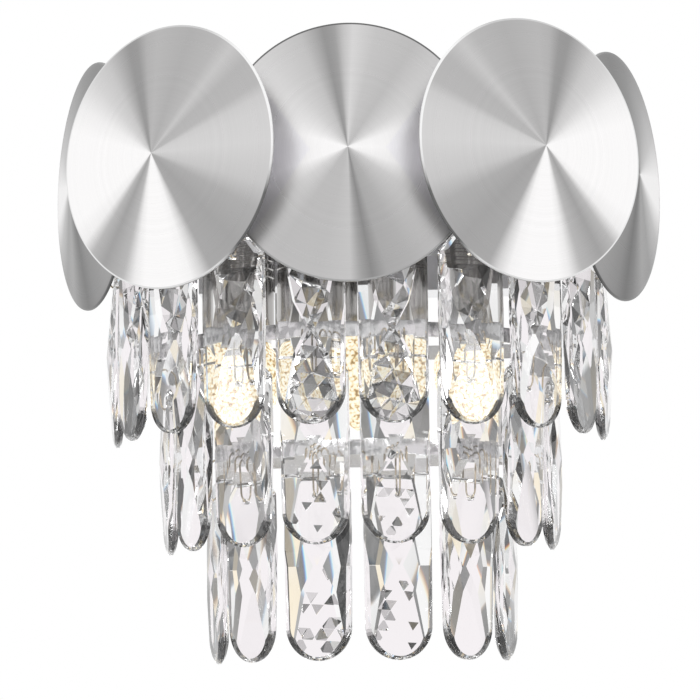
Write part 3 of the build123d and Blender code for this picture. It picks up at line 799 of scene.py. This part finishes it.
# Slants in degrees of the cuts between small facets: tall facets near the clip, blunt ones in the
# drop, and triangles among large facets.
TALL = (27, 74, -68)
BLUNT = (12, 68, -47)
THREE_CORNERED = (4, 63, -52)

# Mosaics: half, slants, size of a facet, share that is tilted, and how deep as a share of the
# thickness behind the middle.
UPPER_SHARDS = ("above", TALL, 8.0 * MM, 1, 0.8)
UPPER_DROP = ("below", BLUNT, 6.4 * MM, 1, 0.85)

# Mosaics of the pendants of each tier.
MOSAICS = {
    ("upper", "left of middle"): (UPPER_SHARDS, UPPER_DROP),
    ("upper", "right of middle"): (UPPER_SHARDS, UPPER_DROP),
    ("upper", "further out"): (("above", TALL, 9.0 * MM, 1, 0.7),),
    ("middle", "left of middle"): (("below", THREE_CORNERED, 5.2 * MM, 0.3, 0.6),),
    ("middle", "right of middle"): (("below", THREE_CORNERED, 4.4 * MM, 0.2, 0.6),),
    ("middle", "further out"): (),
    ("lower", "left of middle"): (("below", THREE_CORNERED, 5.6 * MM, 0.3, 0.6),),
    ("lower", "right of middle"): (("below", THREE_CORNERED, 4.8 * MM, 0.24, 0.6),),
    ("lower", "further out"): (),
}

# Height of the middle of a pendant's hole above its swing axis.
HOLE_HEIGHT = -3.53 * MM


class WALLLIGHT_OT_pendants(bpy.types.Operator):
    """Faceted glass pendants, one on each hinge"""

    bl_idname = "walllight.pendants"
    bl_label = "Crystal pendants"

    def execute(self, context):
        settings = context.scene.walllight_pendants
        glass = cut_crystal_glass("cut crystal", settings)
        drill_mesh = bmesh.new()
        bmesh.ops.create_cone(
            drill_mesh, cap_ends=True, segments=24, depth=40 * MM,
            radius1=settings.hole / 2, radius2=settings.hole / 2,
            matrix=Matrix.Translation((0, 0, HOLE_HEIGHT)) @ Matrix.Rotation(math.pi / 2, 4, "Y"),
        )
        drill = new_piece("drill", drill_mesh)
        drilled = {}
        for seed, (kind, mosaics) in enumerate(MOSAICS.items(), settings.seed):
            master = pendant_master(settings, seed, mosaics)
            cut = master.modifiers.new("hole", "BOOLEAN")
            cut.operation = "DIFFERENCE"
            cut.solver = "EXACT"
            cut.object = drill
            drilled[kind] = plain_mesh(master)
        for tier in TIERS:
            members = tier_members(tier)
            half = len(members) // 2
            beside = {half - 1: "left of middle", half: "right of middle"}
            for place, (angle, name, radius, height) in enumerate(members):
                mesh = drilled[tier, beside.get(place, "further out")].copy()
                mesh.transform(around(angle, radius, height))
                piece = add_object(f"cut_{name}", mesh)
                finish_piece(piece, glass, name, [name], sharp=0)
        bpy.data.objects.remove(drill)
        return {"FINISHED"}


class Tree(Nodes):
    """A Geometry Nodes tree under construction, with named inputs."""

    def __init__(self, name, inputs):
        super().__init__(bpy.data.node_groups.new(name, "GeometryNodeTree"))
        face = self.tree.interface
        face.new_socket("Geometry", in_out="INPUT", socket_type="NodeSocketGeometry")
        face.new_socket("Geometry", in_out="OUTPUT", socket_type="NodeSocketGeometry")
        self.names = {}
        for label, value in inputs.items():
            kind = "NodeSocketInt" if isinstance(value, int) else "NodeSocketFloat"
            socket = face.new_socket(label, in_out="INPUT", socket_type=kind)
            socket.default_value = value
            self.names[label] = socket.identifier

    def entries(self):
        """The geometry that goes in, and the named inputs."""
        entry = self.tree.nodes.new("NodeGroupInput")
        return [Value(self, entry.outputs[label]) for label in ("Geometry", *self.names)]

    def close(self, geometry, material):
        """Realizes the instances, sets their material and ends the tree."""
        plain = self.node("GeometryNodeRealizeInstances", Geometry=geometry)
        painted = self.node("GeometryNodeSetMaterial", Geometry=plain, Material=material)
        self.feed(self.tree.nodes.new("NodeGroupOutput").inputs[0], painted)

    def run(self, name, source, **values):
        """Runs the tree on an object, and gives a plain object of what it makes."""
        modifier = source.modifiers.new(name, "NODES")
        modifier.node_group = self.tree
        for label, value in values.items():
            modifier[self.names[label]] = value
        bpy.context.view_layer.update()
        mesh = plain_mesh(source)
        mesh.name = name
        return add_object(name, mesh)


# Steps around the wire of a clip.
WIRE_STEPS = 10


def wire_path(name, points):
    """Curve object of straight runs through points."""
    curve = bpy.data.curves.new(name, "CURVE")
    curve.dimensions = "3D"
    add_run(curve, "POLY", points)
    return add_object(name, curve)


def hairpin(settings):
    """Points of one clip in its own frame: X outwards, Z up, its lower bend about the origin."""
    half_width = settings.clip_width / 2
    top = settings.clip_length - half_width
    gap = 0.1 * MM

    def bend(height, start, end, steps):
        turns = [start + (end - start) * step / steps for step in range(steps + 1)]
        return [(half_width * math.cos(turn), 0, height + half_width * math.sin(turn)) for turn in turns]

    lower = bend(0, 0, -math.pi, 12)
    outer = bend(top - half_width, math.pi / 2, 0, 6)
    inner = bend(top - half_width, math.pi, math.pi / 2, 6)
    return [(gap, 0, top), *outer, *lower, *inner, (-gap, 0, top)]


def clip_tree(wire):
    """Sweeps the wire along a hairpin and hangs one at each place around a band."""
    tree = Tree("wire clips", {"Count": 10, "Radius": 0.12, "Height": 0.0, "Wire": 0.45 * MM})
    path, count, radius, height, thickness = tree.entries()
    ring = tree.node("GeometryNodeCurvePrimitiveCircle", Resolution=WIRE_STEPS, Radius=thickness)
    swept = tree.node("GeometryNodeCurveToMesh", Curve=path, Profile_Curve=ring, Fill_Caps=True)
    angle = (tree.node("GeometryNodeInputIndex") + 0.5) / count * math.pi - math.pi / 2
    x = tree.maths("SINE", angle) * radius
    y = FRONT_Y - tree.maths("COSINE", angle) * radius
    spot = tree.node("ShaderNodeCombineXYZ", X=x, Y=y, Z=height)
    points = tree.node("GeometryNodePoints", Count=count)
    placed = tree.node("GeometryNodeSetPosition", Geometry=points, Position=spot)
    turn = tree.node("ShaderNodeCombineXYZ", Z=angle - math.pi / 2)
    hung = tree.node("GeometryNodeInstanceOnPoints", Points=placed, Instance=swept, Rotation=turn)
    tree.close(hung, wire)
    return tree


class WALLLIGHT_OT_clips(bpy.types.Operator):
    """Wire clips between the bands and the pendants"""

    bl_idname = "walllight.clips"
    bl_label = "Wire clips"

    def execute(self, context):
        settings = context.scene.walllight_metal
        # The clip wire carries painted dark reflections of the glass.
        wire = mirror_steel("clip wire", settings.wire_color, 0.08, 0.55)
        tree = clip_tree(wire)
        for tier in TIERS:
            members = tier_members(tier)
            _, _, radius, height = members[0]
            piece = tree.run(
                f"clips_{tier}", wire_path("hairpin", hairpin(settings)),
                Count=len(members), Radius=radius, Height=height, Wire=settings.wire / 2,
            )
            finish_piece(piece, wire, "fixture", [f"hooks_{tier}"])
        return {"FINISHED"}


# Radius of the bands' edges.
BAND_ROUNDING = 0.2 * MM


def band_tree(metal):
    """Bends a strip along a half circle and closes it with a straight strap."""
    tree = Tree(
        "bent band", {"Radius": 0.12, "Sheet": 1.2 * MM, "Width": 7 * MM, "Height": 0.0, "Steps": 96}
    )
    _, radius, sheet, width, height, steps = tree.entries()
    arc = tree.node(
        "GeometryNodeCurveArc", {"mode": "RADIUS"}, Resolution=steps, Radius=radius,
        Start_Angle=math.pi, Sweep_Angle=math.pi,
    )
    section = tree.node("GeometryNodeCurvePrimitiveQuadrilateral", Width=sheet, Height=width)
    rounded = tree.node(
        "GeometryNodeFilletCurve", {"mode": "POLY"}, Curve=section, Radius=BAND_ROUNDING, Count=2
    )
    bent = tree.node("GeometryNodeCurveToMesh", Curve=arc, Profile_Curve=rounded, Fill_Caps=True)
    place = tree.node("ShaderNodeCombineXYZ", Y=FRONT_Y, Z=height)
    half_round = tree.node("GeometryNodeTransform", Geometry=bent, Translation=place)
    size = tree.node("ShaderNodeCombineXYZ", X=radius * 2.0, Y=sheet, Z=width)
    bar = tree.node("GeometryNodeMeshCube", Size=size)
    back = tree.node("ShaderNodeCombineXYZ", Y=FRONT_Y - sheet * 0.5, Z=height)
    strap = tree.node("GeometryNodeTransform", Geometry=bar, Translation=back)
    joined = tree.node("GeometryNodeJoinGeometry", Geometry=strap)
    tree.feed(joined.socket.node.inputs[0], half_round)
    tree.close(joined, metal)
    return tree


class WALLLIGHT_OT_bands(bpy.types.Operator):
    """Three half-round bands and the disc rail"""

    bl_idname = "walllight.bands"
    bl_label = "Bands and disc rail"

    def execute(self, context):
        settings = context.scene.walllight_metal
        # The bands carry painted dark reflections of the glass in front.
        polished = mirror_steel("polished band", settings.polished, 0.2, 0.4)
        plain = mirror_steel("polished steel", settings.polished, 0.2)
        tree = band_tree(polished)
        radii = {f"ring_{tier}": tier_members(tier)[0][2] for tier in TIERS}
        for node, radius in (*radii.items(), ("disc_rail", RAIL_RADIUS)):
            low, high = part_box(node)
            rail = node == "disc_rail"
            piece = tree.run(
                f"bent_{node}", wire_path("start", [(0, 0, 0), UP]),
                Radius=radius, Sheet=settings.rail_sheet if rail else settings.band_sheet,
                Width=high.z - low.z, Height=(low.z + high.z) / 2, Steps=settings.arc_steps,
            )
            finish_piece(piece, plain if rail else polished, "fixture", [node])
        dress(plain, "ring_posts", "housing")
        return {"FINISHED"}


def dress(material, *nodes):
    """Gives solids that stay as they are their finish."""
    for node in nodes:
        materials = frame["nodes"][node].data.materials
        materials.clear()
        materials.append(material)


class WALLLIGHT_OT_lamps(bpy.types.Operator):
    """Lampholders, bulbs and their caps"""

    bl_idname = "walllight.lamps"
    bl_label = "Lamps"

    def execute(self, context):
        settings = context.scene.walllight_lamps
        glow = bulb_glow("lit bulb", settings)
        cap_metal = turned_metal("bulb cap", (0.78, 0.78, 0.79), 0.2, 700.0)
        holder_finish = mirror_steel("lampholder sleeve", settings.holder, 0.1)
        caps = bmesh.new()
        caps_top = -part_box("bulb_caps")[1].z
        for side in LAMP_SIDES:
            bulb, holder = f"bulb_{side}", f"lampholder_{side}"
            place = upright(middle(bulb).x, middle(bulb).y)
            glass_low, glass_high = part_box(bulb)
            neck = -glass_high.z
            radius = (glass_high.x - glass_low.x) / 2 - 0.2 * MM
            bm = bmesh.new()
            turn_profile(bm, candle_profile(neck, -glass_low.z, radius), LAMP_STEPS, place)
            finish_piece(new_piece(f"candle_{side}", bm), glow, "fixture", [bulb], sharp=1.2)
            turn_profile(caps, cap_profile(caps_top, neck), CAP_STEPS, place)
            holder_low, holder_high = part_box(holder)
            bm = bmesh.new()
            turn_profile(bm, holder_profile(-holder_high.z, -holder_low.z), LAMP_STEPS, place)
            sleeve = new_piece(f"sleeve_{side}", bm)
            finish_piece(sleeve, holder_finish, "fixture", [holder])
        finish_piece(new_piece("screw_caps", caps), cap_metal, "fixture", ["bulb_caps"])
        return {"FINISHED"}


# Steps around a bulb or lampholder, and around a screw cap.
LAMP_STEPS = 48
CAP_STEPS = 36

# Outline of a candle bulb, neck first: shares of its length and of its radius.
CANDLE_OUTLINE = (
    (0.0, 0.66), (0.05, 0.72), (0.12, 0.86), (0.2, 0.97), (0.3, 1.0), (0.42, 0.99), (0.54, 0.92),
    (0.66, 0.78), (0.78, 0.58), (0.88, 0.38), (0.95, 0.22), (0.985, 0.1),
)


def candle_profile(top, bottom, radius):
    """Half section of a candle bulb's glass, neck upwards."""
    shape = [(top + (bottom - top) * along, radius * share) for along, share in CANDLE_OUTLINE]
    return [(top, 0), *shape, (bottom, 0)]


def stations_from(start, *stations):
    """Stations of a half section, given in millimetres from a start."""
    return [(start + along * MM, radius * MM) for along, radius in stations]


def cap_profile(top, neck):
    """Half section of a screw cap: contact, insulator, thread and collar."""
    stations = stations_from(top, (0, 0), (0, 3), (0.6, 3.9), (3, 3.9), (3.2, 5), (4, 6.8))
    along = top + 5 * MM
    while along < neck - 6 * MM:
        stations += stations_from(along, (0, 6.9), (1.1, 6.2))
        along += 2.2 * MM
    return stations + stations_from(
        neck, (-3, 6.9), (-3, 11.6), (-2.6, 11.9), (-0.2, 11.9), (0, 11.6), (0, 0)
    )


def holder_profile(top, bottom):
    """Half section of a lampholder: rounded shoulder, grooves and its socket's mouth."""
    stations = stations_from(top, (0, 0), (0, 9.5), (0.6, 11.4), (2.2, 13.0), (4, 13.4))
    along = top + 10 * MM
    while along < top + 30 * MM:
        stations += stations_from(along, (0, 13.4), (0.5, 12.8), (1.5, 12.8), (2, 13.4))
        along += 4 * MM
    return stations + stations_from(
        bottom, (-1, 13.4), (-0.2, 13.0), (0, 12.2), (0, 8.8), (-33.8, 8.6), (-33.8, 0)
    )


def leads_object(name):
    """The three leads as bevelled curves, from the lampholders over the shelf to the terminals."""
    curve = bpy.data.curves.new(name, "CURVE")
    curve.dimensions = "3D"
    curve.bevel_depth = 1.1 * MM
    curve.bevel_resolution = 4
    curve.use_fill_caps = True
    bore_z = middle("cable_grommet").z
    block_low, block_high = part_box("terminal_block")
    block_y = (block_low.y + block_high.y) / 2
    pitch = (block_high.x - block_low.x) / 3
    holder_z, grommet_y = -36 * MM, FRONT_Y - 14 * MM
    for side, pole in zip(LAMP_SIDES, (-1, 0, 1)):
        lamp = middle(f"lampholder_{side}")
        bore_x = pole * 3 * MM
        points = [
            (lamp.x, lamp.y, holder_z),
            (lamp.x, lamp.y, bore_z - 6 * MM),
            (lamp.x, lamp.y, bore_z),
            (bore_x + (lamp.x - bore_x) * 0.85, lamp.y + (grommet_y - lamp.y) * 0.15, bore_z),
            (bore_x, grommet_y, bore_z),
            (bore_x, FRONT_Y - 2 * MM, bore_z),
            (bore_x, block_y, bore_z),
            (pole * pitch, block_y, block_high.z + 6 * MM),
            (pole * pitch, block_y, block_high.z - 3 * MM),
        ]
        spline = add_run(curve, "NURBS", points)
        spline.order_u = 3
        spline.use_endpoint_u = True
        spline.resolution_u = 8
    return add_object(name, plain_mesh(add_object(name, curve)))


class WALLLIGHT_OT_fittings(bpy.types.Operator):
    """Screws, nuts, shelf, leads and the other fittings"""

    bl_idname = "walllight.fittings"
    bl_label = "Fittings"

    def execute(self, context):
        zinc = turned_metal("bright zinc", (0.72, 0.73, 0.76), 0.22, 500.0)
        brass = turned_metal("turned brass", (0.80, 0.60, 0.28), 0.2, 600.0)
        white = moulded_plastic("terminal moulding", (0.85, 0.85, 0.82), 0.4)
        sleeve = moulded_plastic("lead sleeve", (0.82, 0.80, 0.74), 0.35)
        rubber = moulded_plastic("grommet rubber", (0.03, 0.03, 0.03), 0.6)
        dress(zinc, "clamp_screws", "strap_screws", "terminal_screws", "disc_nuts", "lamp_shelf")
        dress(zinc, "wall_bracket")
        dress(mirror_steel("cap nut", (0.85, 0.85, 0.86), 0.08), "cap_nuts")
        dress(brass, "earth_screw", "nipple_nuts", "nipples")
        dress(white, "terminal_block")
        dress(rubber, "cable_grommet")
        finish_piece(leads_object("leads"), sleeve, "fixture", ["lamp_leads"], sharp=1.0)
        return {"FINISHED"}


# Stage


def stage_piece(name, bm, material, *hidden):
    """One mesh of the stage, hidden from the named kinds of ray."""
    piece = add_mesh(name, bm)
    piece.data.materials.append(material)
    for kind in hidden:
        setattr(piece, f"visible_{kind}", False)


# The pale part repeats around the room at this step in degrees, for the views from other sides.
# There it also reaches further up and down.
PALE_EVERY = 45.0
PALE_REACH = 14.0

# Strips of the surround: (noise level, linear grey).
SURROUND_TONES = (
    (0.30, 0.03), (0.39, 0.05), (0.40, 0.18), (0.46, 0.28), (0.465, 0.80), (0.50, 0.90), (0.505, 0.20),
    (0.56, 0.32), (0.565, 0.92), (0.64, 1.0), (0.645, 0.4), (0.74, 0.5),
)

# How far the strips' edges are apart in red, green and blue, in degrees.
FRINGES = (-0.02, 0.0, 0.02)

# How many times longer a strip is upwards, and the size of a warm patch in degrees.
STRIP_STRETCH = 2.5
WARM_PATCH = 9

# Degrees in a radian, near enough.
DEGREES = 57.3


def studio_surround(settings):
    """What the glass shows of the room: pale straight behind, grey strips and dark gaps beyond."""
    finish = Finish("studio surround", Base_Color=(0, 0, 0, 1), Roughness=1.0, Emission_Strength=1.0)
    finish.wear("Specular IOR Level", 0.0)
    x, y, z = finish.parts(finish.place())
    azimuth = finish.maths("ARCTAN2", x, y) * DEGREES - settings.ahead
    elevation = finish.maths("ARCSINE", z / settings.surround) * DEGREES
    beside = finish.maths("ABSOLUTE", azimuth)
    above = finish.maths("ABSOLUTE", elevation - settings.rise)
    repeat = finish.maths("PINGPONG", azimuth, PALE_EVERY / 2)
    away = finish.ease(repeat, settings.pale_width, settings.pale_width + 0.5)
    high = settings.pale_height + finish.ease(beside, 20.0, 30.0) * PALE_REACH
    over = finish.ease(above - high, 0.0, 0.5)
    outside = finish.maths("MAXIMUM", away, over)
    stops = [(level, [tone] * 3 + [1]) for level, tone in SURROUND_TONES]
    channels = []
    for shift in FRINGES:
        spot = finish.node(
            "ShaderNodeCombineXYZ", X=(azimuth + shift) / settings.strip,
            Y=(elevation + shift) / settings.strip / STRIP_STRETCH,
        )
        mottle = finish.noise(1.0, 0.6, spot)
        channels.append(finish.node("ShaderNodeValToRGB", {"stops": stops}, Fac=mottle))
    red, green, blue = channels
    strips = finish.node("ShaderNodeCombineColor", Red=red, Green=green, Blue=blue)
    patch = finish.node("ShaderNodeCombineXYZ", X=azimuth / WARM_PATCH, Y=elevation / WARM_PATCH)
    warm = finish.noise(0.7, 1.0, patch)
    strips = finish.blend(finish.ease(warm, 0.56, 0.66), strips, finish.shaded(strips, (1.0, 0.9, 0.72)))
    dim = finish.ease(beside, 25.0, 60.0)
    strips = finish.blend(dim, strips, finish.shaded(strips, (0.45, 0.45, 0.46)))
    front = finish.ease(beside, 95.0, 120.0) * 0.75
    strips = finish.blend(front, strips, (0.97, 0.97, 0.97, 1))
    finish.wear("Emission Color", finish.blend(outside, [*settings.pale, 1], strips))
    return finish.material


# Height of the floor and how far it reaches, in metres.
FLOOR_Z = -0.7
FLOOR_REACH = 60.0

# The soft lights: name, place, width and share of the power; and the spot they shine at.
LIGHTS = (
    ("light_left", (-1.1, -1.0, 0.7), 0.7, 1.0),
    ("light_right", (1.1, -1.0, 0.7), 0.7, 1.0),
    ("light_below", (0.0, -1.1, -1.0), 0.6, 0.6),
)
LIT_SPOT = Vector((0, -0.09, -0.1))

# The camera that fits the picture: place in metres; yaw, pitch and roll in degrees; sensor in
# millimetres; and a lens of 2817.371 pixels for a picture 700 pixels wide.
CAMERA_SPOT = (0.041092, -1.41724, -0.274235)
CAMERA_TURNS = (-1.893, 7.284, -0.744)
SENSOR = 36.0
CAMERA_LENS = 2817.371 / 700 * SENSOR


def pale_world(scene):
    """White where the camera, metal and glass see it, and a little less on what it lights."""
    world = bpy.data.worlds.new("pale studio")
    scene.world = world
    world.use_nodes = True
    sky = Nodes(world.node_tree)
    seen = 0.0
    for kind in ("Camera", "Glossy", "Transmission"):
        seen = sky.maths("MAXIMUM", seen, sky.node("ShaderNodeLightPath", output=f"Is {kind} Ray"))
    back = sky.tree.nodes["Background"]
    back.inputs["Color"].default_value = (1, 1, 1, 1)
    sky.feed(back.inputs["Strength"], sky.node("ShaderNodeMapRange", Value=seen, To_Min=0.95, To_Max=1.0))


def aimed_camera():
    """Camera at the place and turn that fit the picture."""
    camera = bpy.data.cameras.new("camera")
    camera.sensor_width = SENSOR
    camera.lens = CAMERA_LENS
    viewer = add_object("camera", camera)
    yaw, pitch, roll = (math.radians(turn) for turn in CAMERA_TURNS)
    stand = Matrix.Translation(CAMERA_SPOT)
    for turn, axis in ((-yaw, "Z"), (math.pi / 2 + pitch, "X"), (roll, "Z")):
        stand = stand @ Matrix.Rotation(turn, 4, axis)
    viewer.matrix_world = stand
    return viewer


class WALLLIGHT_OT_stage(bpy.types.Operator):
    """Floor, soft lights, pale surroundings and the camera"""

    bl_idname = "walllight.stage"
    bl_label = "Stage"

    def execute(self, context):
        settings = context.scene.walllight_stage
        scene = context.scene
        scene.view_settings.view_transform = "Standard"
        scene.cycles.max_bounces = 16
        scene.cycles.transmission_bounces = 15
        scene.cycles.glossy_bounces = 16
        pale = Finish("pale floor", Roughness=0.9)
        pale.wear("Base Color", pale.tint(settings.floor, 0.98 + pale.noise(3.0, 2.0) * 0.03))
        below = Matrix.Translation((0, 0, FLOOR_Z))
        ground = bmesh.new()
        bmesh.ops.create_grid(ground, x_segments=1, y_segments=1, size=FLOOR_REACH, matrix=below)
        stage_piece("floor", ground, pale.material, "transmission", "glossy")
        shell = bmesh.new()
        bmesh.ops.create_uvsphere(shell, u_segments=64, v_segments=32, radius=settings.surround)
        stage_piece("surround", shell, studio_surround(settings), "camera", "diffuse", "glossy", "shadow")
        pale_world(scene)
        for name, spot, width, power in LIGHTS:
            lamp = bpy.data.lights.new(name, "AREA")
            lamp.shape = "DISK"
            lamp.size = width
            lamp.energy = settings.light * power
            holder = add_object(name, lamp)
            holder.visible_glossy = False
            aim = (LIT_SPOT - Vector(spot)).to_track_quat("-Z", "Y").to_matrix().to_4x4()
            holder.matrix_world = Matrix.Translation(spot) @ aim
        scene.camera = aimed_camera()
        return {"FINISHED"}


class WALLLIGHT_PT_panel(bpy.types.Panel):
    """Lists the settings and the operators"""

    bl_label = "Wall light"
    bl_idname = "WALLLIGHT_PT_panel"
    bl_space_type = "VIEW_3D"
    bl_region_type = "UI"
    bl_category = "Wall light"

    def draw(self, context):
        for name in SETTINGS:
            group = getattr(context.scene, name)
            for key in group.__annotations__:
                self.layout.prop(group, key)
        for operator in OPERATORS:
            self.layout.operator(operator.bl_idname)


SETTINGS = {
    "walllight_discs": DiscSettings,
    "walllight_pendants": PendantSettings,
    "walllight_metal": MetalSettings,
    "walllight_lamps": LampSettings,
    "walllight_stage": StageSettings,
}
OPERATORS = (
    WALLLIGHT_OT_discs,
    WALLLIGHT_OT_pendants,
    WALLLIGHT_OT_clips,
    WALLLIGHT_OT_bands,
    WALLLIGHT_OT_lamps,
    WALLLIGHT_OT_fittings,
    WALLLIGHT_OT_stage,
)


def register():
    for part in (*SETTINGS.values(), *OPERATORS, WALLLIGHT_PT_panel):
        bpy.utils.register_class(part)
    for name, group in SETTINGS.items():
        setattr(bpy.types.Scene, name, PointerProperty(type=group))


def unregister():
    for name in SETTINGS:
        delattr(bpy.types.Scene, name)
    for part in reversed((*SETTINGS.values(), *OPERATORS, WALLLIGHT_PT_panel)):
        bpy.utils.unregister_class(part)


def main():
    """Registers the add-on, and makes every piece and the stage."""
    register()
    for operator in OPERATORS:
        family, name = operator.bl_idname.split(".")
        getattr(getattr(bpy.ops, family), name)()


if __name__ == "__main__":
    main()
